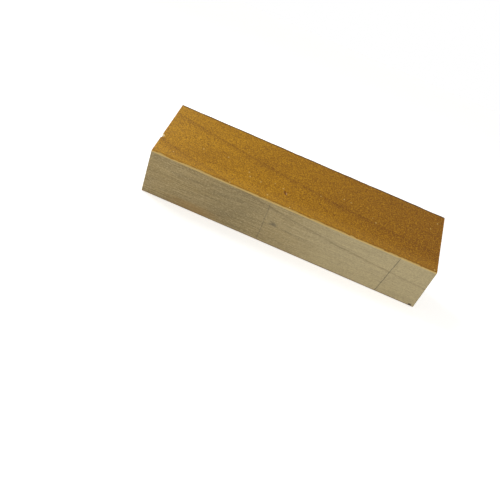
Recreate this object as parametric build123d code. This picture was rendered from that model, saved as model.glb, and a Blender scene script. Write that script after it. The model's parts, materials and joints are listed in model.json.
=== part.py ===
from build123d import *
import math
import os

# The wooden block of a hand stamp, in millimetres: one solid piece, sawn from a moulded strip of
# hardwood. Its section is a trapezoid. The wide side takes the handle in a blind hole, and the
# narrow side is left bare for the stamp's rubber.
#
# The block lies on one of its two sloping sides, as it does on a bench. +X runs along the grain,
# the narrow side faces -Y and the wide side +Y, and +Z is up. The origin is under the middle of
# the block's box.

# The moulded strip
block_length = 70.0
wide_width = 20.5
narrow_width = 11.3
block_height = 18.0  # from the narrow side to the wide side, square to both
wide_edge_radius = 0.2  # the edges between varnished sides are left crisp by the moulding cutter
narrow_edge_radius = 0.25  # the edges of the bare side are only sanded

# The handle hole, bored square to the wide side by a bit with a centre point
hole_diameter = 10.0
hole_depth = 12.0  # to the flat floor
hole_from_middle = 0.0  # along the block
point_diameter = 2.2
point_depth = 1.4  # of the centre point's pit, below the floor

# The two marks deep enough to feel, both on the upper sloping side
knot_width = 1.0
knot_depth = 0.25
knot_from_middle = -3.6
knot_from_wide_edge = 14.2
nick_radius = 0.4  # where the saw pulled fibres out of the end's edge
nick_from_wide_edge = 12.8

# The sloping sides
slope_run = (wide_width - narrow_width) / 2
slope_angle = math.degrees(math.atan2(slope_run, block_height))

# The block is shaped on its edge, with the wide side upright at the back: the section is level
# with YZ and its middle lies on the X axis.
wide_y = block_height / 2
narrow_y = -block_height / 2
wide_edge_z = wide_width / 2
narrow_edge_z = narrow_width / 2

# A plane on the upper sloping side: x runs along the block, y up to the wide edge, z outwards
upper_side = Plane(
    origin=(0, wide_y, wide_edge_z),
    x_dir=(1, 0, 0),
    z_dir=(0, -slope_run, block_height),
)


def moulded_strip():
    """The trapezoid, run along X and sawn square at both ends, with its four long edges eased."""
    outline = Polyline(
        (wide_y, wide_edge_z),
        (narrow_y, narrow_edge_z),
        (narrow_y, -narrow_edge_z),
        (wide_y, -wide_edge_z),
        close=True,
    )
    section = Plane.YZ * make_face(outline)
    strip = extrude(section, amount=block_length / 2, both=True)
    long_edges = strip.edges().filter_by(Axis.X).sort_by(Axis.Y)
    strip = fillet(long_edges[2:], wide_edge_radius)
    long_edges = strip.edges().filter_by(Axis.X).sort_by(Axis.Y)
    return fillet(long_edges[:2], narrow_edge_radius)


def handle_bit():
    """What the bit takes away: a straight wall, a flat floor and the pit of its centre point.

    It is turned about Z with the mouth at z = 0, then stood in the wide side.
    """
    radius = hole_diameter / 2
    point_radius = point_diameter / 2
    past_mouth = wide_edge_radius
    half_outline = Polyline(
        (0, past_mouth),
        (radius, past_mouth),
        (radius, -hole_depth),
        (point_radius, -hole_depth),
        (0, -hole_depth - point_depth),
        close=True,
    )
    turned = revolve(Plane.XZ * make_face(half_outline), Axis.Z)
    mouth = Plane(
        origin=(hole_from_middle, wide_y, 0),
        x_dir=(1, 0, 0),
        z_dir=(0, 1, 0),
    )
    return mouth * turned


def knot_dent():
    """A shallow round dent over a pin knot, part of a sphere that cuts the surface at its width."""
    half_width = knot_width / 2
    radius = (half_width**2 + knot_depth**2) / (2 * knot_depth)
    centre = Pos(knot_from_middle, -knot_from_wide_edge, radius - knot_depth)
    return upper_side * centre * Sphere(radius)


def end_nick():
    """A bite out of the edge between the upper sloping side and the -X end."""
    return upper_side * Pos(-block_length / 2, -nick_from_wide_edge, 0) * Sphere(nick_radius)


def laid_on_side(block):
    """Turns the block onto its lower sloping side and sets the middle of its box over the origin."""
    lying = Rot(X=slope_angle) * block
    box = lying.bounding_box()
    return Pos(-box.center().X, -box.center().Y, -box.min.Z) * lying


stamp_block = moulded_strip() - handle_bit() - knot_dent() - end_nick()
stamp_block = laid_on_side(stamp_block)

os.makedirs("parts", exist_ok=True)
export_step(stamp_block, "parts/stamp_block.step")
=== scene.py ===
import json
import math

import bmesh
import bpy
from mathutils import Matrix, Vector, noise


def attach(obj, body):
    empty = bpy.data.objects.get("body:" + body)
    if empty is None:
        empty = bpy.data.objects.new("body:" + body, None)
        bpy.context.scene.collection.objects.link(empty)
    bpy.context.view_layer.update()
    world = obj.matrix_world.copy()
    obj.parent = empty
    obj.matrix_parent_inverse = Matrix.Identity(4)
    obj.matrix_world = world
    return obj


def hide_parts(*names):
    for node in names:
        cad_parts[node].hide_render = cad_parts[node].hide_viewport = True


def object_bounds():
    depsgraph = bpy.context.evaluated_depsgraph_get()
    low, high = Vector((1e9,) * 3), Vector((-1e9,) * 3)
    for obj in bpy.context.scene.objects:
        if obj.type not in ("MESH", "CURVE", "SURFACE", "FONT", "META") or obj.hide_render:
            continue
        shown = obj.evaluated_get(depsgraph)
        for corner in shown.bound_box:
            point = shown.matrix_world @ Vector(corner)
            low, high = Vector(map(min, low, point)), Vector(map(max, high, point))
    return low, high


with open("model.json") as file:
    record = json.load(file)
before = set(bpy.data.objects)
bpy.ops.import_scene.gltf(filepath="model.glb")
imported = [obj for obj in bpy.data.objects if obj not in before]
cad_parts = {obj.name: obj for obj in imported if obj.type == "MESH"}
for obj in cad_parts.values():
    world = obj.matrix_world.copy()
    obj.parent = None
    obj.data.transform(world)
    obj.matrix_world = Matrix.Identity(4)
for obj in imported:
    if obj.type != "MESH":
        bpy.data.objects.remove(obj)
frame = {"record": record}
cadLow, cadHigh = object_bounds()
mm = 0.001  # the sizes below are in millimetres, and the scene is in metres

# The block lies on a sloping side. Its own axes are: along the grain, out of the wide side,
# and across it, with zero in the middle of the narrow bare side.
mounts = {mount["name"]: mount for mount in frame["record"]["mounts"]}
handleHole = mounts["handle_hole"]
holeRadius = handleHole["dims"]["r_mm"]
holeDepth = handleHole["dims"]["length_mm"]
holeMiddle = Vector(handleHole["pos_m"]) / mm
bareMiddle = Vector(mounts["rubber_face"]["pos_m"]) / mm
outwards = Vector(handleHole["axis"]).normalized()
across = Vector((1, 0, 0)).cross(outwards)
slope = math.atan2(outwards.z, outwards.y)
blockLength = (cadHigh.x - cadLow.x) / mm
blockHeight = (holeMiddle - bareMiddle).dot(outwards) + holeDepth / 2
bareWidth = 2 * bareMiddle.z / outwards.y
wideWidth = bareWidth + 2 * blockHeight * math.tan(slope)
legLength = math.hypot(blockHeight, (wideWidth - bareWidth) / 2)
print("block", *(round(size, 2) for size in (blockLength, wideWidth, bareWidth, blockHeight)))


def inScene(along, out, sideways):
    # a place given on the block's own axes, in the scene's metres
    point = bareMiddle + Vector((along, 0, 0)) + outwards * out + across * sideways
    return point * mm


def upperSide(along, fromWideEdge, lift=0.0):
    # a place on the upper sloping side, measured down from its wide edge, on the block's own axes
    share = fromWideEdge / legLength
    out = blockHeight * (1 - share) - lift * math.sin(slope)
    sideways = wideWidth / 2 + (bareWidth - wideWidth) / 2 * share + lift * math.cos(slope)
    return Vector((along, out, sideways))


def linearColour(hexText):
    # an sRGB hex colour as the linear one that the shaders take
    channels = [int(hexText[i:i + 2], 16) / 255 for i in (1, 3, 5)]
    linear = [c / 12.92 if c <= 0.04045 else ((c + 0.055) / 1.055) ** 2.4 for c in channels]
    return (*linear, 1.0)


def addNode(tree, kind, links=None, output=0, **settings):
    # adds one node with its settings and links, and gives back one of its outputs
    node = tree.nodes.new("ShaderNode" + kind)
    for name, value in settings.items():
        setattr(node, name, value)
    for socket, value in (links or {}).items():
        if isinstance(value, bpy.types.NodeSocket):
            tree.links.new(value, node.inputs[socket])
        else:
            node.inputs[socket].default_value = value
    return node.outputs[output] if len(node.outputs) else None


seedShift = (17.3, -5.1, 3.7)  # how far apart the noise is read from one seed to the next


def wander(seed, x, y=0.0, z=0.0):
    # smooth noise about zero, the same on every run
    return noise.noise(Vector([v + shift * seed for v, shift in zip((x, y, z), seedShift)]))


def skinRings(mesh, rings):
    # joins each ring of points to the next, closes the first ring, and gives back the faces
    faces = []
    size = len(rings[0])
    for a, b in zip(rings, rings[1:]):
        for k in range(size):
            n = (k + 1) % size
            faces.append(mesh.faces.new((a[k], a[n], b[n], b[k])))
    faces.append(mesh.faces.new(list(reversed(rings[0]))))
    return faces


finishOrder = {"varnished": 0, "planed": 1, "sawn": 2, "bored": 3}

# Every value that ends in Waves is how fast its unevenness changes, in waves a millimetre.
blockShape = {
    "alongStep": 0.4,  # how far apart its points are
    "acrossStep": 0.8,
    "endRows": (0.0, 0.09, 0.2, 0.34, 0.5, 0.72, 1.0),  # rows of points near each end
    "arcPoints": 5,
    "wideEdgeEase": 0.21,
    "bareEdgeEase": 0.26,
    "easeWander": 0.1,  # how much rounder the long edges are rubbed in places
    "bareShare": 0.6,  # how much of that the two edges of the bare side get
    "rubSeed": 0,
    "rubWaves": 0.11,
    "rubStrength": 1.4,
    "knockSeed": 9,  # short knocks on top of the long rubbing
    "knockWaves": 0.7,
    "endEase": 0.1,  # the end's edges are nearly as sharp as the saw left them
    "endEaseLeast": 0.7,  # the share of it that even the sharpest places get
    "endEaseSeed": 31,
    "endEaseWaves": 1.3,
    "endMiddle": 0.55,  # the place that they are eased towards, as a share of the height
    "endRag": 0.15,  # how far in the fibres tore along the end's edges
    "endRagSeed": 43,
    "endRagWaves": 2.1,
    "endRagAlongWaves": 0.02,
    "sharpAngle": 28.0,
}


def longEdgeEases(x):
    # how round each long edge is at one place, in the order of the section's corners
    shape = blockShape
    rub = [
        abs(wander(shape["rubSeed"] + edge, x * shape["rubWaves"])) * shape["rubStrength"]
        + max(0.0, wander(shape["knockSeed"] + edge, x * shape["knockWaves"]))
        for edge in range(4)
    ]
    wide = [shape["wideEdgeEase"] + shape["easeWander"] * rub[k] for k in (0, 1)]
    bare = [
        shape["bareEdgeEase"] + shape["easeWander"] * rub[k] * shape["bareShare"] for k in (2, 3)
    ]
    return wide[0], bare[0], bare[1], wide[1]


def sectionPoints(eases):
    # the trapezoid's outline as (out, across), with an arc at each corner
    corners = [
        Vector((blockHeight, wideWidth / 2)),
        Vector((0, bareWidth / 2)),
        Vector((0, -bareWidth / 2)),
        Vector((blockHeight, -wideWidth / 2)),
    ]
    arcs = []
    for i, (corner, ease) in enumerate(zip(corners, eases)):
        before = (corners[i - 1] - corner).normalized()
        after = (corners[(i + 1) % 4] - corner).normalized()
        half = before.angle(after) / 2
        centre = corner + (before + after).normalized() * ease / math.sin(half)
        start = corner + before * ease / math.tan(half) - centre
        turn = (math.pi - 2 * half) / blockShape["arcPoints"]
        arcs.append([
            centre + Matrix.Rotation(turn * k, 2) @ start
            for k in range(blockShape["arcPoints"] + 1)
        ])
    outline = []
    for i, arc in enumerate(arcs):
        outline += arc
        span = corners[(i + 1) % 4] - corners[i]
        count = max(2, round(span.length / blockShape["acrossStep"]))
        first, last = arc[-1], arcs[(i + 1) % 4][0]
        outline += [first.lerp(last, k / count) for k in range(1, count)]
    return outline


def makeBlank():
    # the moulded strip sawn to length, before it is bored
    shape = blockShape
    half = blockLength / 2
    ends = shape["endRows"]
    inner = half - ends[-1]
    count = round(2 * inner / shape["alongStep"])
    rows = [-half + e for e in ends]
    rows += [-inner + 2 * inner * k / count for k in range(1, count)]
    rows += [half - e for e in reversed(ends)]
    middle = Vector((blockHeight * shape["endMiddle"], 0))
    easeWaves, ragWaves = shape["endEaseWaves"], shape["endRagWaves"]
    mesh = bmesh.new()
    rings = []
    for x in rows:
        fromEnd = half - abs(x)
        ring = []
        for point in sectionPoints(longEdgeEases(x)):
            place, along = point.copy(), x
            if fromEnd < ends[1] / 2:  # the very end's own edges
                uneven = wander(shape["endEaseSeed"], point.x * easeWaves, point.y * easeWaves, x)
                inset = shape["endEase"] * (shape["endEaseLeast"] + abs(uneven))
                place += (middle - point).normalized() * inset
            elif fromEnd < (ends[-2] + ends[-1]) / 2:  # the rows just in from it
                uneven = wander(
                    shape["endRagSeed"], point.x * ragWaves, point.y * ragWaves,
                    x * shape["endRagAlongWaves"],
                )
                rag = shape["endRag"] * max(0.0, uneven)
                rag *= 1 - fromEnd / ends[-1]
                along = x - math.copysign(rag, x)
            ring.append(mesh.verts.new(inScene(along, place.x, place.y)))
        rings.append(ring)
    skinRings(mesh, rings)
    mesh.faces.new(rings[-1])
    bmesh.ops.recalc_face_normals(mesh, faces=mesh.faces)
    data = bpy.data.meshes.new("stampBlock")
    mesh.to_mesh(data)
    mesh.free()
    return data


# Here the Waves are waves a radian, round the hole.
holeShape = {
    "turns": 168,  # points in each ring
    # rows of points from above the wide side down to where the tearing has died away
    "mouthDepths": (-1.0, -0.02, 0.0, 0.06, 0.14, 0.24, 0.36, 0.5, 0.7, 1.0),
    "wallStep": 0.25,  # from one row of points to the next below the mouth
    "chipReach": 0.55,  # how far fibres tore out past the hole's wall
    "chipFade": 0.225,  # and how soon that dies away with depth
    "chipSeed": 61,
    "chipWaves": 4.2,
    "chipMore": 0.12,  # so that more of the rim is chipped than not
    "splinterSeed": 67,
    "splinterWaves": 13,
    "splinterLess": 0.05,  # and less than half of it is splintered too
    "splinterShare": 0.8,
    "mouthSwell": 0.05,  # how far the crushed rim stands in
    "ridge": 0.012,  # the spiral that the bit left on the wall
    "ridgeTurn": 9,  # radians a millimetre
    "wallSeed": 71,
    "wallWaves": 9,
    "wallRoughness": 0.01,
    "grooveDepth": 0.22,  # left by the bit's outer cutters
    "grooveSteps": (0.03, 0.22, 0.4),  # how far in from the wall its two feet and its lip are
    "pointRadius": 1.1,  # the pit that its centre point left in the floor
    "tipRadius": 0.12,
    "tipDepth": 1.26,
}


def tornReach(depth, c, s):
    # how far past the plain wall the torn mouth goes, towards (c, s) from the hole's axis
    shape = holeShape
    chips, splinters = shape["chipWaves"], shape["splinterWaves"]
    torn = max(0.0, wander(shape["chipSeed"], c * chips, s * chips) + shape["chipMore"])
    torn += shape["splinterShare"] * max(
        0.0, wander(shape["splinterSeed"], c * splinters, s * splinters) - shape["splinterLess"])
    fade = math.exp(-max(depth, 0.0) / shape["chipFade"])
    return shape["chipReach"] * torn * fade - shape["mouthSwell"] * fade


def wallReach(depth, angle, c, s):
    # the slight spiral and roughness of the bored wall
    shape = holeShape
    waves = shape["wallWaves"]
    return (
        shape["ridge"] * math.sin(depth * shape["ridgeTurn"] + angle)
        + shape["wallRoughness"] * wander(shape["wallSeed"], c * waves, s * waves, depth)
    )


def makeHoleCutter():
    # what the bit took away, as a closed shape turned about the hole's axis
    shape = holeShape
    mouthEnd, step = shape["mouthDepths"][-1], shape["wallStep"]
    depths = list(shape["mouthDepths"])
    depths += [mouthEnd + step * k for k in range(1, int((holeDepth - mouthEnd) / step) + 1)]
    grooveFoot, grooveInnerFoot, grooveLip = shape["grooveSteps"]
    profile = [(depth, holeRadius) for depth in depths]
    profile += [
        (holeDepth + shape["grooveDepth"], holeRadius - grooveFoot),
        (holeDepth + shape["grooveDepth"], holeRadius - grooveInnerFoot),
        (holeDepth, holeRadius - grooveLip),
        (holeDepth, (holeRadius + shape["pointRadius"]) / 2),
        (holeDepth, shape["pointRadius"]),
        (holeDepth + shape["tipDepth"], shape["tipRadius"]),
    ]
    mesh = bmesh.new()
    rings = []
    for depth, radius in profile:
        ring = []
        for k in range(shape["turns"]):
            angle = 2 * math.pi * k / shape["turns"]
            c, s = math.cos(angle), math.sin(angle)
            reach = 0.0
            if depth < mouthEnd:
                reach = tornReach(depth, c, s)
            elif radius == holeRadius:
                reach = wallReach(depth, angle, c, s)
            r = radius + reach
            ring.append(mesh.verts.new(inScene(r * c, blockHeight - depth, r * s)))
        rings.append(ring)
    skinRings(mesh, rings)
    mesh.faces.new(rings[-1])
    bmesh.ops.recalc_face_normals(mesh, faces=mesh.faces)
    return mesh


dentShape = {
    # reach is how far each goes along the block, up the side and into the wood, lift how far its
    # middle stands off the side, and lean how far it slants along for each millimetre up
    "knot": {
        "along": -3.5, "fromWideEdge": 14.2, "reach": (0.42, 0.85, 0.26), "lift": 0.15,
        "lean": 0.44, "seed": 81,
    },
    "nick": {
        "along": -35.0, "fromWideEdge": 12.8, "reach": (0.6, 0.62, 1.1), "lift": 0.0,
        "lean": 0.0, "seed": 82,
    },
    "roughness": 0.16,
    "roughWaves": 1.4,  # waves over the pebble's own radius
    "roundness": 3,
}


def addDentCutter(mesh, dent):
    # a rough pebble that presses into the wood
    made = bmesh.ops.create_icosphere(mesh, subdivisions=dentShape["roundness"], radius=1)
    wide, tall, deep = dent["reach"]
    for vert in made["verts"]:
        uneven = wander(dent["seed"], *(vert.co * dentShape["roughWaves"]))
        x, y, z = vert.co * (1 + dentShape["roughness"] * uneven)
        vert.co = inScene(*upperSide(
            dent["along"] + x * wide - y * tall * dent["lean"],
            dent["fromWideEdge"] - y * tall,
            dent["lift"] + z * deep,
        ))


def boreBlock(data):
    # cuts the hole and both dents out of the blank
    block = bpy.data.objects.new("stampBlock", data)
    bpy.context.scene.collection.objects.link(block)
    cutterMesh = makeHoleCutter()
    for name in ("knot", "nick"):
        addDentCutter(cutterMesh, dentShape[name])
    cutterData = bpy.data.meshes.new("cutter")
    cutterMesh.to_mesh(cutterData)
    cutterMesh.free()
    cutter = bpy.data.objects.new("cutter", cutterData)
    bpy.context.scene.collection.objects.link(cutter)
    cut = block.modifiers.new("bore", "BOOLEAN")
    cut.operation = "DIFFERENCE"
    cut.solver = "EXACT"
    cut.object = cutter
    graph = bpy.context.evaluated_depsgraph_get()
    bored = bpy.data.meshes.new_from_object(block.evaluated_get(graph))
    block.modifiers.clear()
    block.data = bored
    bpy.data.objects.remove(cutter)
    return block


fibreShape = {
    "count": 58,
    "length": (0.35, 1.25),
    "width": (0.07, 0.16),
    "flatness": 0.35,
    "taper": ((0, 1.0), (0.35, 0.85), (0.7, 0.5)),  # share of its length, and its width there
    "spacing": 0.8,  # how far round the rim each may shift, as a share of the gap
    "swerve": (1.0, 0.3),  # how far its direction strays, along the grain and across it
    "swerveStrength": 1.6,
    "rootOut": 0.22,  # how far past the hole's wall it is rooted
    "rootIn": 0.15,  # and how far in from there the sliver starts
    "rootDepth": (0.02, 0.3),  # the least, and how much more it may be
    "droop": (0.55, 0.1),  # the tip sinks by up to the first share of its length, less the second
    "drawSteps": (12.9898, 78.233, 37.719, 93.989, 51.31),
    "drawStart": 1.7,
}


def addTornFibres(block):
    # slivers of pale wood still held at the hole's mouth, each a closed three-sided spike
    mesh = bmesh.new()
    mesh.from_mesh(block.data)
    shape = fibreShape
    shortest, longest = shape["length"]
    thinnest, widest = shape["width"]
    for k in range(shape["count"]):
        shift, stretch, spread, veer, sink = [
            0.5 + 0.5 * math.sin(k * step + shape["drawStart"]) for step in shape["drawSteps"]
        ]
        angle = 2 * math.pi * (k + shape["spacing"] * shift) / shape["count"]
        length = shortest + (longest - shortest) * stretch ** 2
        width = thinnest + (widest - thinnest) * spread
        droop = shape["droop"][0] * veer - shape["droop"][1]
        rootDepth = shape["rootDepth"][0] + shape["rootDepth"][1] * sink
        rim = Vector((math.cos(angle), math.sin(angle)))
        swerve = Vector(((veer - 0.5) * shape["swerve"][0], (sink - 0.5) * shape["swerve"][1]))
        inward = -rim + swerve * shape["swerveStrength"]
        inward.normalize()
        sideways = Vector((-inward.y, inward.x))
        root = rim * (holeRadius + shape["rootOut"])
        rings = []
        for share, thick in shape["taper"]:
            here = root + inward * (length * share + shape["rootIn"])
            depth = rootDepth + droop * length * share * share
            corners = []
            for turn in range(3):
                lean = 2 * math.pi * turn / 3
                place = here + sideways * math.cos(lean) * width * thick * 0.5
                drop = math.sin(lean) * width * thick * shape["flatness"]
                out = blockHeight - depth - drop
                corners.append(mesh.verts.new(inScene(place.x, out, place.y)))
            rings.append(corners)
        tip = root + inward * (length + shape["rootIn"])
        tipOut = blockHeight - (rootDepth + droop * length)
        tipVert = mesh.verts.new(inScene(tip.x, tipOut, tip.y))
        made = skinRings(mesh, rings)
        for turn in range(3):
            made.append(mesh.faces.new((rings[-1][turn], rings[-1][(turn + 1) % 3], tipVert)))
        bmesh.ops.recalc_face_normals(mesh, faces=made)
        for face in made:
            face.material_index = finishOrder["bored"]
    mesh.to_mesh(block.data)
    mesh.free()


# Hard maple: pale and close-grained. Each year's growth ends in one thin soft dark line.
timber = {
    "pithOut": -30.1,  # the middle of the tree, measured as the block's own axes are
    "pithAcross": -41.4,
    "pithDrift": -0.142,  # the grain runs slightly askew to the block
    "pithSweep": 0.00156,  # and the trunk had a gentle bend
    # how far from the middle of the tree each dark line runs, and how dark it is
    "rings": (
        (44.5, 0.12), (49.0, 0.15), (54.0, 0.85), (58.2, 0.12), (62.6, 1.0), (66.8, 0.4),
        (70.9, 0.5),
    ),
    "ringSpan": (40.0, 76.0),
    "ringLead": 1.7,  # the wood darkens over this much before a line
    "ringEnd": 0.4,  # and is pale again this far past it
    "ringShade": 0.5,  # how dark it is that far before it, as a share of the line
    "waver": 0.3,
    "waverSize": (10, 5, 5),
    "patchSize": (3.5, 1.2, 1.2),  # where a line is stronger or fainter
    "patchRange": (0.35, 0.6),
    "patchFaint": 0.75,  # how strong it still is at its faintest
    "noiseTurn": (0.5, 0.4, 0.7),
    "noiseDetail": 3.0,
    "noiseRoughness": 0.6,
}


def timberPlace(tree):
    # millimetres along the grain, out of the bare side and across the block, as a vector
    place = addNode(tree, "TexCoord", output="Object")
    shift = Matrix.Rotation(-slope, 3, "X") @ bareMiddle
    return addNode(
        tree, "Mapping",
        {"Vector": place, "Location": -shift, "Rotation": (-slope, 0, 0), "Scale": (1 / mm,) * 3},
    )


def timberAxes(tree, place):
    # the three numbers of that place, each by its name
    axes = addNode(tree, "SeparateXYZ", {"Vector": place}).node.outputs
    return {"along": axes["X"], "out": axes["Y"], "across": axes["Z"]}


def grainPatterns(tree, place, sizes):
    # a soft random pattern for each name, its size in millimetres along, out and across
    # the noise is turned after it is scaled, so its own lattice never lines up with the block
    patterns = {}
    for name, size in sizes.items():
        scaled = addNode(
            tree, "Mapping",
            {"Vector": place, "Scale": [1 / s for s in size], "Rotation": timber["noiseTurn"]},
        )
        patterns[name] = addNode(
            tree, "TexNoise",
            {
                "Vector": scaled, "Scale": 1.0, "Detail": timber["noiseDetail"],
                "Roughness": timber["noiseRoughness"],
            },
        )
    return patterns


def ringLines(tree, place, axes):
    # 0 in the pale wood and 1 on a ring's dark line
    uneven = grainPatterns(
        tree, place, {"waver": timber["waverSize"], "patchy": timber["patchSize"]})
    lean = addNode(
        tree, "Math", {0: axes["along"], 1: timber["pithSweep"], 2: timber["pithDrift"]},
        operation="MULTIPLY_ADD",
    )
    pithAcross = addNode(
        tree, "Math", {0: axes["along"], 1: lean, 2: timber["pithAcross"]},
        operation="MULTIPLY_ADD",
    )
    pith = addNode(
        tree, "CombineXYZ", {"X": axes["along"], "Y": timber["pithOut"], "Z": pithAcross})
    radius = addNode(
        tree, "VectorMath", {0: place, 1: pith}, output="Value", operation="DISTANCE")
    # the noise is 0.5 on average, so the span below is moved on by as much as it adds
    wavering = addNode(
        tree, "Math", {0: uneven["waver"], 1: 2 * timber["waver"], 2: radius},
        operation="MULTIPLY_ADD",
    )
    low, high = timber["ringSpan"]
    share = addNode(
        tree, "MapRange",
        {
            "Value": wavering,
            "From Min": low + timber["waver"], "From Max": high + timber["waver"],
        },
    )
    ramp = addNode(tree, "ValToRGB", {"Fac": share}).node
    stops = ramp.color_ramp.elements
    stops[1].color = (0, 0, 0, 1)
    for ring, dark in timber["rings"]:
        shades = (
            (-timber["ringLead"], 0), (-timber["ringEnd"], timber["ringShade"] * dark),
            (0, dark), (timber["ringEnd"], 0),
        )
        for past, value in shades:
            stops.new((ring + past - low) / (high - low)).color = (value, value, value, 1)
    faint, full = timber["patchRange"]
    fading = addNode(
        tree, "MapRange",
        {
            "Value": uneven["patchy"], "From Min": faint, "From Max": full,
            "To Min": timber["patchFaint"],
        },
    )
    return addNode(tree, "Math", {0: ramp.outputs[0], 1: fading}, operation="MULTIPLY")


def roundPatch(tree, place, middle, reach):
    # 1 in the middle of an oval patch and 0 past its reach, both in millimetres
    scaled = addNode(
        tree, "Mapping",
        {
            "Vector": place, "Scale": [1 / r for r in reach],
            "Location": [-m / r for m, r in zip(middle, reach)],
        },
    )
    away = addNode(tree, "VectorMath", {0: scaled}, output="Value", operation="LENGTH")
    return addNode(
        tree, "MapRange", {"Value": away, "From Min": 1.0, "From Max": 0.0},
        interpolation_type="SMOOTHSTEP",
    )


def layColours(tree, base, layers):
    # lays each colour over the ones before it; a layer is a pattern, the values where it starts
    # and is full, its strength there and its colour
    colour = linearColour(base)
    for pattern, start, full, strength, hexText in layers:
        share = addNode(
            tree, "MapRange",
            {"Value": pattern, "From Min": start, "From Max": full, "To Max": strength},
            interpolation_type="SMOOTHSTEP",
        )
        colour = addNode(
            tree, "Mix", {0: share, 6: colour, 7: linearColour(hexText)}, output=2,
            data_type="RGBA",
        )
    return colour


def newMaterial(name):
    material = bpy.data.materials.new(name)
    material.use_nodes = True
    material.node_tree.nodes.clear()
    return material, material.node_tree


def finishWood(tree, colour, relief, look, film=None):
    # relief is two patterns, which together stand up as far as the look says, in millimetres;
    # the first also takes the roughness from one end of its range to the other
    height = addNode(tree, "Math", {0: relief[0], 1: relief[1]}, operation="ADD")
    bump = addNode(
        tree, "Bump",
        {"Height": height, "Strength": look["bump"], "Distance": look["relief"] * mm},
    )
    rough = addNode(
        tree, "MapRange",
        {"Value": relief[0], "To Min": look["rough"][0], "To Max": look["rough"][1]},
    )
    shader = addNode(
        tree, "BsdfPrincipled",
        {
            "Base Color": colour, "Roughness": rough, "IOR": look["ior"], "Normal": bump,
            **(film or {}),
        },
    )
    addNode(tree, "OutputMaterial", {"Surface": shader})


def pencilMarks(tree, axes, patterns, pencil):
    # 1 on a ruled pencil line, broken where the point skipped over the grain
    soft, solid = pencil["edge"]
    marks = None
    for line in pencil["lines"]:
        ruled = addNode(
            tree, "Math", {0: axes["across"], 1: line["lean"], 2: line["along"]},
            operation="MULTIPLY_ADD",
        )
        shaken = addNode(
            tree, "Math", {0: patterns["hand"], 1: line["shake"], 2: ruled},
            operation="MULTIPLY_ADD",
        )
        away = addNode(tree, "Math", {0: axes["along"], 1: shaken}, operation="SUBTRACT")
        away = addNode(tree, "Math", {0: away, 1: -line["shake"] / 2}, operation="SUBTRACT")
        away = addNode(tree, "Math", {0: away}, operation="ABSOLUTE")
        mark = addNode(
            tree, "MapRange",
            {
                "Value": away, "From Min": line["width"] * soft, "From Max": line["width"] * solid,
                "To Max": line["dark"],
            },
        )
        if marks is None:
            marks = mark
        else:
            marks = addNode(tree, "Math", {0: marks, 1: mark}, operation="MAXIMUM")
    skipping, gripping = pencil["grip"]
    grip = addNode(
        tree, "MapRange",
        {
            "Value": patterns["fuzz"], "From Min": skipping, "From Max": gripping,
            "To Min": pencil["faint"],
        },
    )
    return addNode(tree, "Math", {0: marks, 1: grip}, operation="MULTIPLY")


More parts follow.
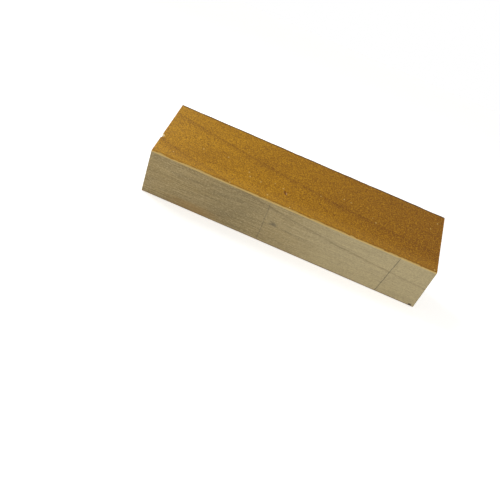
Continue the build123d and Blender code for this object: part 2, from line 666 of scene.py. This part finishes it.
def planedMaple():
    # Bare maple as the planer left it: dry, matt and greyed by handling. The eye reads it by its
    # fine streaks along the grain, one ring line and the pencil setting-out lines.
    look = {
        "wood": "#826F46",
        "grain": {
            "vessels": (7.0, 0.16, 0.16),  # real ones are 0.06 wide, drawn coarser so they show
            "combed": (8.0, 0.3, 0.3),  # streaks where the planer's knives lifted the grain
            "fuzz": (0.45, 0.17, 0.17),
            "cloud": (14, 4, 4),
            "hand": (60, 60, 2.4),  # the unsteady hand that ruled the lines
            "mottle": (1.1, 0.35, 0.35),
        },
        "pencil": {
            "lines": (
                {"along": -5.55, "lean": -0.009, "width": 0.26, "shake": 0.5, "dark": 0.45},
                {"along": 25.61, "lean": 0.121, "width": 0.22, "shake": 0.3, "dark": 0.62},
            ),
            "edge": (0.8, 0.2),  # where a line starts and is full, as shares of its width
            "grip": (0.3, 0.5),
            "faint": 0.55,
        },
        "patches": {  # middle and reach
            "smudge": ((-3.3, 0.0, 0.23), (2.8, 1, 1.8)),
            # paintedShade is painted shade over the middle of one half of the side
            "paintedShade": ((-12.5, 0.0, 0.0), (13.0, 1, 12.0)),
            "stain": ((-22.0, 0.0, -4.6), (12.0, 1, 2.6)),
            "speck": ((33.9, 0.0, -5.3), (0.6, 1, 0.5)),
        },
        "upperEdge": (0.42, 0.16),  # how far in from each edge its colour starts and is full
        "shadedLowerEdge": (0.5, 0.15),
        "rough": (0.7, 0.58),
        "ior": 1.45,
        "bump": 0.35,
        "relief": 0.03,
    }
    material, tree = newMaterial("planedMaple")
    place = timberPlace(tree)
    axes = timberAxes(tree, place)
    grain = grainPatterns(tree, place, look["grain"])
    rings = ringLines(tree, place, axes)
    pencil = pencilMarks(tree, axes, grain, look["pencil"])
    patches = {name: roundPatch(tree, place, *patch) for name, patch in look["patches"].items()}
    smudge = addNode(
        tree, "Math", {0: patches["smudge"], 1: grain["mottle"]}, operation="MULTIPLY")
    stain = addNode(tree, "Math", {0: patches["stain"], 1: grain["cloud"]}, operation="MULTIPLY")
    edge = bareWidth / 2
    upperStart, upperFull = look["upperEdge"]
    lowerStart, lowerFull = look["shadedLowerEdge"]
    colour = layColours(tree, look["wood"], (
        (grain["vessels"], 0.56, 0.4, 0.45, "#A39064"),
        (grain["vessels"], 0.5, 0.64, 0.52, "#685A3C"),
        (grain["cloud"], 0.42, 0.68, 0.26, "#87703A"),
        # painted shade, darkening one half of the side
        (patches["paintedShade"], 0.0, 1.0, 0.36, "#6C6040"),
        (axes["along"], -14.0, 19.0, 0.6, "#AEA17C"),  # paler towards one end, painted light
        (grain["combed"], 0.52, 0.38, 0.12, "#B8A87C"),
        (grain["combed"], 0.5, 0.64, 0.15, "#6A5C3E"),
        (grain["fuzz"], 0.5, 0.68, 0.32, "#5E5238"),
        (grain["fuzz"], 0.5, 0.32, 0.38, "#BCAB82"),
        (rings, 0.35, 0.8, 0.42, "#5C4C30"),
        (stain, 0.02, 0.5, 0.5, "#86652F"),
        (smudge, 0.2, 0.7, 0.8, "#4C4638"),
        (patches["speck"], 0.1, 0.5, 0.9, "#1E1A14"),
        (pencil, 0.0, 1.0, 1.0, "#453E33"),
        (axes["across"], edge - upperStart, edge - upperFull, 0.55, "#C6AC72"),
        # painted shade: a dark brown reflection along the lower edge
        (axes["across"], lowerStart - edge, lowerFull - edge, 0.35, "#5E4E30"),
    ))
    finishWood(tree, colour, (grain["vessels"], grain["fuzz"]), look)
    return material


def varnishedMaple():
    # Maple under amber lacquer. The film is warm and clear, so the rings show through it, and it
    # dried with a fine orange peel and dust in it, the dust painted as bright glints. It darkens
    # towards one end, partly with a thicker film and partly with painted shade, and is rubbed at
    # edges.
    look = {
        "thin": "#C88E02",
        "grain": {
            "streaks": (6.0, 0.7, 0.7),
            "dashes": (1.3, 0.5, 0.5),
            "peel": (0.3, 0.22, 0.22),
            "smoke": (15, 8, 10),
            "cloud": (16, 6, 6),
            "rag": (2.2, 0.5, 0.5),
        },
        "dustGlintSpacing": 2.6,  # from one speck of dust, painted as a bright glint, to the next
        "knotMark": ((0, 0, 0), (0.5, 1.1, 1.0)),  # middle and reach, from the knot's dent
        "knotHighlight": ((-0.25, 1.15, 0), (0.4, 0.35, 1.0)),  # a painted highlight, where a bead of lacquer catches the light
        "wideCoat": (0.15, 0.03),  # below the wide side, where its coat starts and is full
        "wideEdgeLine": (0.7, 0.4),
        "smoky": (0.4, 0.66),
        "ragged": 0.7,
        "rubbed": (0.24, 0.1),  # above the bare side, where the rubbing starts and is full
        "rough": (0.5, 0.4),
        "ior": 1.45,
        "bump": 0.5,
        "relief": 0.05,
        "film": {
            "Specular IOR Level": 0.15, "Coat Weight": 0.6, "Coat Roughness": 0.32,
            "Coat IOR": 1.48,
        },
    }
    material, tree = newMaterial("varnishedMaple")
    place = timberPlace(tree)
    axes = timberAxes(tree, place)
    grain = grainPatterns(tree, place, look["grain"])
    rings = ringLines(tree, place, axes)
    # specks of dust in the lacquer, painted bright as glints
    dustGlints = addNode(
        tree, "TexVoronoi", {"Vector": place, "Scale": 1 / look["dustGlintSpacing"]}, output="Distance")
    # the knot's own axes lean as its dent does
    knot = dentShape["knot"]
    knotTurn = -math.atan(knot["lean"])
    middle = Matrix.Rotation(knotTurn, 3, "Z") @ upperSide(knot["along"], knot["fromWideEdge"])
    fromKnot = addNode(
        tree, "Mapping", {"Vector": place, "Rotation": (0, 0, knotTurn), "Location": -middle})
    knotMark = roundPatch(tree, fromKnot, *look["knotMark"])
    knotHighlight = roundPatch(tree, fromKnot, *look["knotHighlight"])
    # the wide side was lacquered last and thickest, and smoke-brown clouds dried into it
    start, full = look["wideCoat"]
    onWide = addNode(
        tree, "MapRange",
        {"Value": axes["out"], "From Min": blockHeight - start, "From Max": blockHeight - full},
    )
    start, full = look["smoky"]
    clouds = addNode(
        tree, "MapRange", {"Value": grain["smoke"], "From Min": start, "From Max": full},
        interpolation_type="SMOOTHSTEP",
    )
    smoky = addNode(tree, "Math", {0: onWide, 1: clouds}, operation="MULTIPLY")
    # a dark line along the edge beside it
    start, full = look["wideEdgeLine"]
    nearWide = addNode(
        tree, "MapRange",
        {"Value": axes["out"], "From Min": blockHeight - start, "From Max": blockHeight - full},
    )
    atWide = addNode(tree, "Math", {0: nearWide, 1: onWide}, operation="SUBTRACT")
    # the distances to the edges, made ragged
    ragged = addNode(
        tree, "Math", {0: grain["rag"], 1: look["ragged"], 2: -look["ragged"] / 2},
        operation="MULTIPLY_ADD",
    )
    out = addNode(tree, "Math", {0: axes["out"], 1: ragged}, operation="ADD")
    fromMiddle = addNode(tree, "Math", {0: axes["along"]}, operation="ABSOLUTE")
    endwards = addNode(tree, "Math", {0: fromMiddle, 1: ragged}, operation="ADD")
    # only the upper edge beside the bare side is rubbed through to the wood
    start, full = look["rubbed"]
    atBare = addNode(tree, "MapRange", {"Value": out, "From Min": start, "From Max": full})
    upper = addNode(tree, "Math", {0: axes["across"], 1: 0.0}, operation="GREATER_THAN")
    rubbed = addNode(tree, "Math", {0: atBare, 1: upper}, operation="MULTIPLY")
    # the lower edge beside the bare side gets painted shade instead, a dark brown reflection
    lowerShade = addNode(tree, "Math", {0: atBare, 1: rubbed}, operation="SUBTRACT")
    end = blockLength / 2
    colour = layColours(tree, look["thin"], (
        (grain["peel"], 0.5, 0.35, 0.85, "#E8B024"),
        (grain["peel"], 0.5, 0.67, 0.38, "#7E4E04"),
        (axes["along"], -40.0, 45.0, 0.74, "#7E4602"),  # darker towards one end, partly a thicker film and partly painted shade
        (grain["cloud"], 0.4, 0.7, 0.34, "#946008"),
        (grain["streaks"], 0.5, 0.75, 0.28, "#85550A"),
        (rings, 0.0, 1.0, 0.5, "#764200"),
        (grain["dashes"], 0.5, 0.72, 0.46, "#7A4A08"),
        (grain["peel"], 0.5, 0.35, 0.5, "#DCA222"),
        (grain["peel"], 0.5, 0.67, 0.5, "#6A3E02"),
        # painted glints on the specks of dust
        (dustGlints, 0.09, 0.04, 0.7, "#F0D080"),
        (axes["out"], blockHeight - 0.4, blockHeight - 0.1, 0.6, "#7A4210"),
        (atWide, 0.0, 1.0, 0.75, "#4A2A0C"),
        (onWide, 0.0, 1.0, 0.8, "#70420C"),
        (smoky, 0.0, 1.0, 0.45, "#4E3412"),
        (axes["out"], 4.0, 1.0, 0.12, "#F0B850"),
        (out, 0.6, 0.3, 0.4, "#7A4B12"),
        (rubbed, 0.2, 0.9, 0.85, "#C8AA62"),
        # painted shade along the lower edge beside the bare side
        (lowerShade, 0.3, 0.7, 0.85, "#5E4E30"),
        (endwards, end - 0.3, end - 0.08, 0.4, "#C87E1E"),
        (knotMark, 0.05, 0.6, 0.9, "#844E00"),
        # painted highlight beside the knot
        (knotHighlight, 0.1, 0.6, 0.6, "#EDC070"),
    ))
    finishWood(tree, colour, (grain["peel"], grain["dashes"]), look, look["film"])
    return material


def sawnMaple():
    # Maple cut across by a circular saw: dull and greyer than the long sides. It shows brown
    # ring arcs, fine rays square to them, faint saw lines, dark pores and a few grey stains.
    look = {
        "wood": "#9E9072",
        "grain": {
            "cells": (2.0, 0.24, 0.24),
            "torn": (2.0, 0.45, 0.45),
            "cloud": (30, 4.0, 4.0),
            "stain": (30, 3.4, 4.4),
            "pores": (2.0, 0.26, 0.26),  # real ones are 0.06 wide, drawn coarser so they show
        },
        "rays": (3.0, 3.4, 0.22),  # long towards the middle of the tree, and 0.22 wide
        "sawLines": (3.0, 0.32, 12.0),
        "sawTurn": math.radians(12),
        "rimRagged": 2.0,
        "freshWood": "#F2DDAE",  # inside the nick, where no dirt has reached
        "freshReach": (1.1, 1.1, 1.6),
        "rough": (0.85, 0.7),
        "ior": 1.45,
        "bump": 0.5,
        "relief": 0.06,
    }
    material, tree = newMaterial("sawnMaple")
    place = timberPlace(tree)
    axes = timberAxes(tree, place)
    grain = grainPatterns(tree, place, look["grain"])
    # the rays run out from the middle of the tree, square to the rings
    rayTurn = math.atan2(timber["pithAcross"], blockHeight / 2 - timber["pithOut"])
    for name, turn in (("rays", rayTurn), ("sawLines", look["sawTurn"])):
        turned = addNode(tree, "Mapping", {"Vector": place, "Rotation": (turn, 0, 0)})
        grain.update(grainPatterns(tree, turned, {name: look[name]}))
    rings = ringLines(tree, place, axes)
    # how far in from the nearest lacquered edge, where the saw left a pale torn rim
    halfWidth = addNode(
        tree, "Math", {0: axes["out"], 1: math.tan(slope), 2: bareWidth / 2},
        operation="MULTIPLY_ADD",
    )
    aside = addNode(tree, "Math", {0: axes["across"]}, operation="ABSOLUTE")
    toSide = addNode(tree, "Math", {0: halfWidth, 1: aside}, operation="SUBTRACT")
    toWide = addNode(tree, "Math", {0: blockHeight, 1: axes["out"]}, operation="SUBTRACT")
    nearest = addNode(tree, "Math", {0: toSide, 1: toWide}, operation="MINIMUM")
    ragged = addNode(
        tree, "Math", {0: grain["torn"], 1: look["rimRagged"], 2: -look["rimRagged"] / 2},
        operation="MULTIPLY_ADD",
    )
    rim = addNode(tree, "Math", {0: nearest, 1: ragged}, operation="ADD")
    nick = dentShape["nick"]
    fresh = roundPatch(
        tree, place, upperSide(nick["along"], nick["fromWideEdge"]), look["freshReach"])
    colour = layColours(tree, look["wood"], (
        (grain["cells"], 0.45, 0.7, 0.32, "#776B4C"),
        (grain["cells"], 0.5, 0.3, 0.25, "#B5A981"),
        (grain["cloud"], 0.4, 0.7, 0.4, "#8A7346"),
        (grain["rays"], 0.5, 0.66, 0.2, "#BFAE86"),
        (grain["rays"], 0.5, 0.34, 0.18, "#7B6A4B"),
        (grain["sawLines"], 0.5, 0.68, 0.24, "#6E6146"),
        (rings, 0.0, 1.0, 0.58, "#5A4429"),
        (grain["stain"], 0.52, 0.68, 0.45, "#65655A"),
        (grain["pores"], 0.64, 0.72, 0.6, "#453823"),
        (rim, 0.5, 0.2, 0.5, "#CBB684"),
        (rim, 0.08, 0.0, 0.35, "#A9692A"),
        (fresh, 0.1, 0.4, 0.9, look["freshWood"]),
    ))
    finishWood(tree, colour, (grain["cells"], grain["sawLines"]), look)
    return material


def boredMaple():
    # The wall of a drilled hole: bare maple, ringed by the turning bit, darker deeper down with
    # painted shade, and torn to pale fibres at the mouth.
    look = {
        "wall": "#8C7A54",
        "grain": {"streaks": (2.5, 0.35, 0.35), "turns": (9, 0.3, 9), "torn": (0.8, 0.5, 0.5)},
        "ragged": 0.8,
        "mouth": (0.9, 0.4),  # below the wide side, where its paler wood starts and is full
        "rough": (0.8, 0.68),
        "ior": 1.45,
        "bump": 0.5,
        "relief": 0.06,
    }
    material, tree = newMaterial("boredMaple")
    place = timberPlace(tree)
    axes = timberAxes(tree, place)
    grain = grainPatterns(tree, place, look["grain"])
    ragged = addNode(
        tree, "Math", {0: grain["torn"], 1: look["ragged"], 2: axes["out"]},
        operation="MULTIPLY_ADD",
    )
    mouth = blockHeight + look["ragged"] / 2
    start, full = look["mouth"]
    colour = layColours(tree, look["wall"], (
        (grain["streaks"], 0.4, 0.7, 0.6, "#6B5430"),
        (grain["turns"], 0.5, 0.7, 0.4, "#5C4526"),
        # painted shade, darker deeper down the hole
        (axes["out"], blockHeight - 1.0, blockHeight - holeDepth, 0.5, "#5A4223"),
        (ragged, mouth - start, mouth - full, 0.85, "#D2BC88"),
    ))
    finishWood(tree, colour, (grain["streaks"], grain["turns"]), look)
    return material


finishLimits = {
    "mouthReach": 0.72,  # how far past the hole's wall its torn mouth goes
    "holeLow": 2.0,  # the hole's faces lie between this far above the bare side
    "holeHigh": 0.004,  # and this far below the wide one
    "nickReach": 1.15,  # as a share of its cutter's longest reach
    "nickFacing": 0.98,  # a face there that faces up more squarely is the lacquered side's
    "endFacing": 0.6,  # an end's face points along the grain by more than this
    "bareFacing": 0.995,  # and a bare side's points straight out of it by more than this
}


def dressBlock(block):
    # gives each face the finish of the side that it belongs to, in the order of finishOrder
    for finish in (varnishedMaple(), planedMaple(), sawnMaple(), boredMaple()):
        block.data.materials.append(finish)
    limits = finishLimits
    nick = dentShape["nick"]
    nickMiddle = upperSide(nick["along"], nick["fromWideEdge"])
    nickReach = max(nick["reach"]) * limits["nickReach"]
    mouthRadius = holeRadius + limits["mouthReach"]
    holeHigh = blockHeight - limits["holeHigh"]
    upperNormal = across * math.cos(slope) - outwards * math.sin(slope)
    for face in block.data.polygons:
        local = face.center / mm - bareMiddle
        out, aside = local.dot(outwards), local.dot(across)
        fromNick = (Vector((local.x, out, aside)) - nickMiddle).length
        fromAxis = math.hypot(local.x, aside)
        crosswise = math.hypot(face.normal.y, face.normal.z)
        inHole = fromAxis < mouthRadius and limits["holeLow"] < out < holeHigh
        inNick = fromNick < nickReach and face.normal.dot(upperNormal) < limits["nickFacing"]
        if inHole:
            finish = "bored"
        elif inNick or abs(face.normal.x) > limits["endFacing"]:
            finish = "sawn"
        elif -face.normal.dot(outwards) > limits["bareFacing"] * crosswise:
            finish = "planed"
        else:
            finish = "varnished"
        face.material_index = finishOrder[finish]
        face.use_smooth = True
    block.data.set_sharp_from_angle(angle=math.radians(blockShape["sharpAngle"]))


studio = {
    "floor": "#EFEEEA",
    "floorRoughness": 0.9,
    "floorShine": 0.2,
    "floorGlow": 0.62,  # light coming up through the white table
    "floorSize": 6.0,  # metres
    "floorGap": 0.02,  # millimetres below the block
    "horizon": 1.0,
    "overhead": 0.3,
    "skyRange": (0.24, 0.6),  # how high the horizon's light ends and the darker sky begins
    "lamps": {  # place and width in millimetres, power in watts
        "leftWindow": {
            "place": (-260, 120, 260), "width": 240, "power": 0.66, "colour": "#FFFFFF",
        },
        "frontFill": {
            "place": (240, -260, 150), "width": 240, "power": 0.15, "colour": "#FFF8EE",
        },
    },
}


def makeTable():
    # a plain white table top, just clear of the block
    half = studio["floorSize"] / 2
    data = bpy.data.meshes.new("whiteTable")
    corners = [(-half, -half, 0), (half, -half, 0), (half, half, 0), (-half, half, 0)]
    data.from_pydata(corners, [], [(0, 1, 2, 3)])
    table = bpy.data.objects.new("whiteTable", data)
    table.location.z = cadLow.z - studio["floorGap"] * mm
    bpy.context.scene.collection.objects.link(table)
    material, tree = newMaterial("whiteTable")
    shader = addNode(
        tree, "BsdfPrincipled",
        {
            "Base Color": linearColour(studio["floor"]),
            "Roughness": studio["floorRoughness"],
            "Specular IOR Level": studio["floorShine"],
            "Emission Color": (1, 1, 1, 1),
            "Emission Strength": studio["floorGlow"],
        },
    )
    addNode(tree, "OutputMaterial", {"Surface": shader})
    data.materials.append(material)


def makeLight():
    world = bpy.data.worlds.new("studio")
    bpy.context.scene.world = world
    world.use_nodes = True
    tree = world.node_tree
    tree.nodes.clear()
    # white round the horizon and darker overhead, so the lacquer keeps its depth
    direction = addNode(tree, "TexCoord", output="Generated")
    height = addNode(tree, "SeparateXYZ", {"Vector": direction}, output="Z")
    low, high = studio["skyRange"]
    strength = addNode(
        tree, "MapRange",
        {
            "Value": height, "From Min": low, "From Max": high,
            "To Min": studio["horizon"], "To Max": studio["overhead"],
        },
        interpolation_type="SMOOTHSTEP",
    )
    sky = addNode(tree, "Background", {"Color": (1, 1, 1, 1), "Strength": strength})
    addNode(tree, "OutputWorld", {"Surface": sky})
    middle = (cadLow + cadHigh) / 2
    for name, lamp in studio["lamps"].items():
        light = bpy.data.lights.new(name, "AREA")
        light.shape = "DISK"
        light.size = lamp["width"] * mm
        light.energy = lamp["power"]
        light.color = linearColour(lamp["colour"])[:3]
        holder = bpy.data.objects.new(name, light)
        holder.location = Vector(lamp["place"]) * mm
        holder.rotation_euler = (middle - holder.location).to_track_quat("-Z", "Y").to_euler()
        bpy.context.scene.collection.objects.link(holder)
    bpy.context.scene.view_settings.view_transform = "Standard"


viewpoint = {
    "place": (-5.59, -132.94, 48.78),  # millimetres
    "azimuth": 0.07,  # degrees
    "elevation": 22.51,
    "roll": 23.32,
    "lens": 40.82,
    "sensor": 36.0,
    "nearest": 1,  # what it sees starts and ends this many millimetres away
    "farthest": 20000,
}


def makeCamera():
    data = bpy.data.cameras.new("camera")
    data.lens = viewpoint["lens"]
    data.sensor_width = viewpoint["sensor"]
    data.clip_start = viewpoint["nearest"] * mm
    data.clip_end = viewpoint["farthest"] * mm
    camera = bpy.data.objects.new("camera", data)
    camera.matrix_world = (
        Matrix.Translation(Vector(viewpoint["place"]) * mm)
        @ Matrix.Rotation(math.radians(viewpoint["azimuth"]), 4, "Z")
        @ Matrix.Rotation(math.radians(90 - viewpoint["elevation"]), 4, "X")
        @ Matrix.Rotation(math.radians(viewpoint["roll"]), 4, "Z")
    )
    bpy.context.scene.collection.objects.link(camera)
    bpy.context.scene.camera = camera


print("cutting and boring the block")
block = boreBlock(makeBlank())
print("finishing its sides")
dressBlock(block)
addTornFibres(block)
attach(block, "root")
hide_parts("stamp_block")
print("faces", len(block.data.polygons))

print("setting the table, the light and the camera")
makeTable()
makeLight()
makeCamera()
